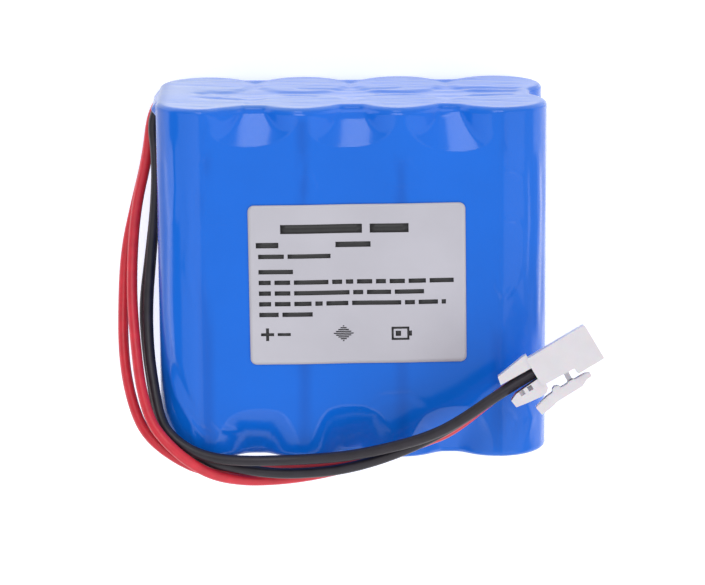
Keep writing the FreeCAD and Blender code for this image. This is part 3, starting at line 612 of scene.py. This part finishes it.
def end_rings(base, side):
    """Rings that turn from the film's long sides into one of its ends."""
    rim = film_ring(base, side * HALF_Y)
    inward = -ring_normals(rim)
    rings = []
    for k in range(1, TURN_STEPS + 1):
        angle = math.pi / 2 * k / TURN_STEPS
        ring = rim + inward * EDGE * (1 - math.cos(angle))
        y = side * (HALF_Y - EDGE + EDGE * math.sin(angle))
        rings.append(np.stack([ring[:, 0], np.full(len(ring), y), ring[:, 1]], axis=1))
    return rings


def end_face(outline, side):
    """Points and triangles that close one end inside its last ring."""
    edge = outline[:, [0, 2]]
    spots = []
    for row, z in enumerate(np.arange(1.0, HEIGHT - 1.0, 0.5)):
        for x in np.arange(-HALF_X + 1.0 + 0.3 * (row % 2), HALF_X - 1.0, 0.6):
            if np.min(np.hypot(edge[:, 0] - x, edge[:, 1] - z)) > 0.4:
                spots.append((x, z))
    flat = [Vector(point) for point in edge] + [Vector(spot) for spot in spots]
    loop = [list(range(len(edge)))]
    points, _, faces, *_ = delaunay_2d_cdt(flat, [], loop, 1, 1e-4)
    x, z = np.array([point.x for point in points]), np.array([point.y for point in points])
    rim_gap = np.array([np.min(np.hypot(edge[:, 0] - a, edge[:, 1] - b)) for a, b in zip(x, z)])
    sink = end_sink(x, z, side) * smooth_step(rim_gap / 2.2)
    return np.stack([x, side * (HALF_Y - sink), z], axis=1), [tuple(face) for face in faces]


def film_grid():
    """Rings of points along the film, from one end's last ring to the other's."""
    base = hull_ring(0.42)
    along = np.concatenate([np.arange(0, 14, 0.38), np.arange(14, HALF_Y - EDGE + 0.01, 0.5)])
    ends = HALF_Y - EDGE - along
    rings = []
    for y in np.unique(np.round(np.concatenate([-ends, ends]), 4)):
        ring = film_ring(base, y)
        rings.append(np.stack([ring[:, 0], np.full(len(ring), y), ring[:, 1]], axis=1))
    return list(reversed(end_rings(base, -1))) + rings + end_rings(base, 1)


# The open slot in each narrow side: its middle along the cells, half its straight run and its half width.
SLOT_MIDDLE, SLOT_HALF_RUN, SLOT_HALF_WIDTH = -1.5, 19.5, 5.4
# The notch that the leads leave through: half its height, and the faces that bound it in x and y.
NOTCH_HALF_HEIGHT, NOTCH_X, NOTCH_NEAR_Y, NOTCH_FAR_Y = 6.2, -34.0, 18.0, 32.6


def opening(points):
    """Positive where the film is, negative in its open side slots and where the leads come out."""
    x, y, z = points[:, 0], points[:, 1], points[:, 2]
    up = z - MID_Z
    ragged = 0.7 * waves(y, z * 0 + np.sign(x) * 9, 23, longest=26, shortest=9)
    past_run = np.clip(np.abs(y - SLOT_MIDDLE) - SLOT_HALF_RUN, 0, None)
    slot = np.hypot(past_run, up * 1.02) - SLOT_HALF_WIDTH - ragged
    slot = np.where(np.abs(x) > 30, slot, 9.0)
    lead_way = np.maximum.reduce([np.abs(up + 0.4) - NOTCH_HALF_HEIGHT, x - NOTCH_X, NOTCH_NEAR_Y - y,
                                  y - NOTCH_FAR_Y - 0.3 * ragged])
    return np.minimum(slot, lead_way)


def clipped_mesh(name, vertices, quads, field):
    """The part of the mesh where the field is positive, cut exactly along its zero line."""
    vertices = [tuple(v) for v in vertices]
    cuts = {}
    faces = []

    def crossing(a, b):
        key = (min(a, b), max(a, b))
        if key not in cuts:
            share = field[a] / (field[a] - field[b])
            cuts[key] = len(vertices)
            vertices.append(tuple(p + (q - p) * share for p, q in zip(vertices[a], vertices[b])))
        return cuts[key]

    for quad in quads:
        inside = [field[v] > 0 for v in quad]
        if all(inside):
            faces.append(tuple(quad))
            continue
        if not any(inside):
            continue
        outline = []
        for k, vertex in enumerate(quad):
            following = quad[(k + 1) % len(quad)]
            if field[vertex] > 0:
                outline.append(vertex)
            if (field[vertex] > 0) != (field[following] > 0):
                outline.append(crossing(vertex, following))
        if len(outline) > 2:
            faces.append(tuple(outline))
    mesh = bpy.data.meshes.new(name)
    mesh.from_pydata([tuple(c * MM for c in v) for v in vertices], [], faces)
    return mesh


FILM_THICKNESS = 0.0002
# How far the film bulges outwards over the leads at their corner.
LEAD_BULGE = 1.1


def add_film(material, end_material):
    """The whole film as one skin: long sides, turned edges and ends, with its openings cut out."""
    grid = film_grid()
    count = len(grid[0])
    caps = [end_face(grid[0], -1), end_face(grid[-1], 1)]
    vertices = np.concatenate(grid + [points for points, _ in caps])
    x, y, z = vertices.T
    bulge = LEAD_BULGE * smooth_step((34.2 - y) / 2.2) * over_leads(x, y, z)
    vertices[:, 0] = x - bulge
    quads = []
    for row in range(len(grid) - 1):
        for k in range(count):
            following = (k + 1) % count
            quads.append((row * count + k, row * count + following,
                          (row + 1) * count + following, (row + 1) * count + k))
    start = len(grid) * count
    for points, triangles in caps:
        quads += [tuple(start + corner for corner in triangle) for triangle in triangles]
        start += len(points)
    mesh = clipped_mesh("shrink_film", vertices, quads, opening(vertices))
    film = bpy.data.objects.new("shrink_film", mesh)
    bpy.context.collection.objects.link(film)
    tidy_mesh(film)
    skin = film.modifiers.new("skin", "SOLIDIFY")
    skin.thickness = FILM_THICKNESS
    skin.offset = -1
    mesh.materials.append(material)
    mesh.materials.append(end_material)
    for polygon in mesh.polygons:
        polygon.material_index = int(abs(polygon.center.y) > (HALF_Y - 0.5) * MM)
    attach(film, PACK)
    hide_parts("film_sleeve")
    return film


def tidy_mesh(obj):
    """Merges doubled points, drops loose ones, turns the faces outwards and smooths them."""
    work = bmesh.new()
    work.from_mesh(obj.data)
    bmesh.ops.remove_doubles(work, verts=work.verts, dist=0.00002)
    bmesh.ops.dissolve_degenerate(work, edges=work.edges, dist=0.00001)
    loose = [vert for vert in work.verts if not vert.link_faces]
    bmesh.ops.delete(work, geom=loose, context="VERTS")
    bmesh.ops.recalc_face_normals(work, faces=work.faces)
    for face in work.faces:
        face.smooth = True
    work.to_mesh(obj.data)
    work.free()


# ---------------------------------------------------------------- label

# In mm on the label's own plane; the turn is in radians.
LABEL_CENTRE = (0.95, 0.35)
LABEL_TURN = math.radians(0.55)
LABEL_SIZE = (41.5, 31.2)
LABEL_CORNER = 1.2
LABEL_CLEARANCE = 0.06
LABEL_STEP = 0.8


def film_top(x, y):
    """How high the film's top is at one place."""
    return HEIGHT - crown_dip(np.array([x]), np.array([y]), False)[0]


def label_point(u, v, lift):
    """A place on the label, from its centre, laid on the film."""
    x = LABEL_CENTRE[0] + u * math.cos(LABEL_TURN) - v * math.sin(LABEL_TURN)
    y = LABEL_CENTRE[1] + u * math.sin(LABEL_TURN) + v * math.cos(LABEL_TURN)
    return (x * MM, y * MM, (film_top(x, y) + LABEL_CLEARANCE + lift) * MM)


def laid_on_film(name, vertices, faces, lift, thickness, material):
    """A thin flat shape, drawn on the label's own plane, laid on the film."""
    mesh = bpy.data.meshes.new(name)
    mesh.from_pydata([label_point(u, v, lift) for u, v in vertices], [], faces)
    for polygon in mesh.polygons:
        polygon.use_smooth = True
    mesh.materials.append(material)
    piece = bpy.data.objects.new(name, mesh)
    bpy.context.collection.objects.link(piece)
    skin = piece.modifiers.new("skin", "SOLIDIFY")
    skin.thickness = thickness * MM
    skin.offset = -1
    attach(piece, PACK)
    return piece


def rounded_outline(width, height, radius):
    """Corner points of a rounded rectangle round the origin, anticlockwise."""
    points = []
    for quarter, (sign_u, sign_v) in enumerate([(1, 1), (-1, 1), (-1, -1), (1, -1)]):
        for k in range(7):
            angle = math.pi / 2 * (quarter + k / 6)
            points.append((sign_u * (width / 2 - radius) + radius * math.cos(angle),
                           sign_v * (height / 2 - radius) + radius * math.sin(angle)))
    return points


def add_label(paper, ink):
    """The label's sheet, cut into small panes so that it follows the film, and its raised print."""
    outline = rounded_outline(*LABEL_SIZE, LABEL_CORNER)
    work = bmesh.new()
    work.faces.new([work.verts.new((u, v, 0)) for u, v in outline])
    for axis, half in ((0, LABEL_SIZE[0] / 2), (1, LABEL_SIZE[1] / 2)):
        for cut in np.arange(-half + LABEL_STEP, half - LABEL_STEP / 2, LABEL_STEP):
            normal = (1, 0, 0) if axis == 0 else (0, 1, 0)
            place = (cut, 0, 0) if axis == 0 else (0, cut, 0)
            everything = work.verts[:] + work.edges[:] + work.faces[:]
            bmesh.ops.bisect_plane(work, geom=everything, plane_co=place, plane_no=normal)
    work.verts.index_update()
    flat = [(vert.co.x, vert.co.y) for vert in work.verts]
    faces = [[vert.index for vert in face.verts] for face in work.faces]
    work.free()
    label = laid_on_film("label_sheet", flat, faces, 0.1, 0.1, paper)
    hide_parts("info_label")
    vertices, faces = [], []
    for low_u, low_v, high_u, high_v in print_marks():
        slices = max(1, int((high_u - low_u) / 1.2))
        start = len(vertices)
        for k in range(slices + 1):
            u = low_u + (high_u - low_u) * k / slices
            vertices += [(u, low_v), (u, high_v)]
        for k in range(slices):
            a = start + 2 * k
            faces.append((a, a + 2, a + 3, a + 1))
    laid_on_film("label_print", vertices, faces, 0.13, 0.02, ink)


# Stand-ins for the printed lines, in mm from the label's centre: how high the line sits, how tall its
# bars are, where it starts, and how long each bar is. A gap of about one bar's height follows each.
PRINT_LINES = [
    (10.9, 1.75, -14.6, [15.6, 7.4]),
    (7.8, 1.05, -19.3, [4.3]),
    (7.8, 1.05, -4.1, [6.7]),
    (5.6, 0.85, -18.9, [4.9, 8.2]),
    (2.6, 0.85, -18.9, [6.6]),
    (0.5, 0.85, -18.9, [2.3, 3.0, 6.6, 1.9, 1.4, 2.9, 1.9, 2.9, 3.3, 4.6]),
    (-1.6, 0.85, -18.9, [2.3, 3.0, 10.6, 1.9, 4.6, 5.6]),
    (-3.7, 0.85, -18.9, [2.3, 3.0, 3.3, 1.4, 4.2, 9.4, 1.9, 3.7, 0.8]),
    (-5.8, 0.85, -18.9, [3.7, 5.8]),
]


SIGN_HALF, SIGN_THIN = 1.25, 0.28
PLUS_U, MINUS_U, SIGNS_V = -17.4, -14.2, -9.7


def print_marks():
    """Rectangles of the print: word bars, a plus and a minus sign, a lozenge and a cell outline."""
    marks = []
    for v, tall, start, lengths in PRINT_LINES:
        u = start
        for length in lengths:
            marks.append((u, v - tall / 2, u + length, v + tall / 2))
            u += length + tall * 0.85
    for u in (PLUS_U, MINUS_U):
        marks.append((u - SIGN_HALF, SIGNS_V - SIGN_THIN, u + SIGN_HALF, SIGNS_V + SIGN_THIN))
    marks.append((PLUS_U - SIGN_THIN, SIGNS_V + SIGN_THIN, PLUS_U + SIGN_THIN, SIGNS_V + SIGN_HALF))
    marks.append((PLUS_U - SIGN_THIN, SIGNS_V - SIGN_HALF, PLUS_U + SIGN_THIN, SIGNS_V - SIGN_THIN))
    for k in range(9):
        width = 1.9 - abs(k - 4) * 0.44
        marks.append((-2.8 - width, -11.2 + k * 0.36, -2.8 + width, -11.2 + k * 0.36 + 0.22))
    for low_u, low_v, high_u, high_v in ((6.4, -11.1, 9.8, -10.7), (6.4, -8.9, 9.8, -8.5),
                                         (6.4, -10.7, 6.8, -8.9), (9.4, -10.7, 9.8, -8.9),
                                         (9.8, -10.3, 10.3, -9.3), (7.2, -10.3, 8.2, -9.3)):
        marks.append((low_u, low_v, high_u, high_v))
    return marks


# ---------------------------------------------------------------- put together

add_camera()
add_world()
for name, centre, size, radiance in PANELS:
    add_panel(name, centre, size, radiance)
add_floor()
bpy.context.scene.view_settings.view_transform = "Standard"

materials = {name: grainy(name, **settings) for name, settings in FINISHES.items()}
materials["blue_film"] = film_material("blue_film", sheen=0.0)
end_film = film_material("blue_film_ends", sheen=0.42)
finish_cad_nodes(materials)
for key, points in LEADS.items():
    colour = "lead_black" if key.startswith("black") else "lead_red"
    add_lead(key, points, materials[colour])
add_film(materials["blue_film"], end_film)
add_label(materials["label_pale"], materials["label_ink"])
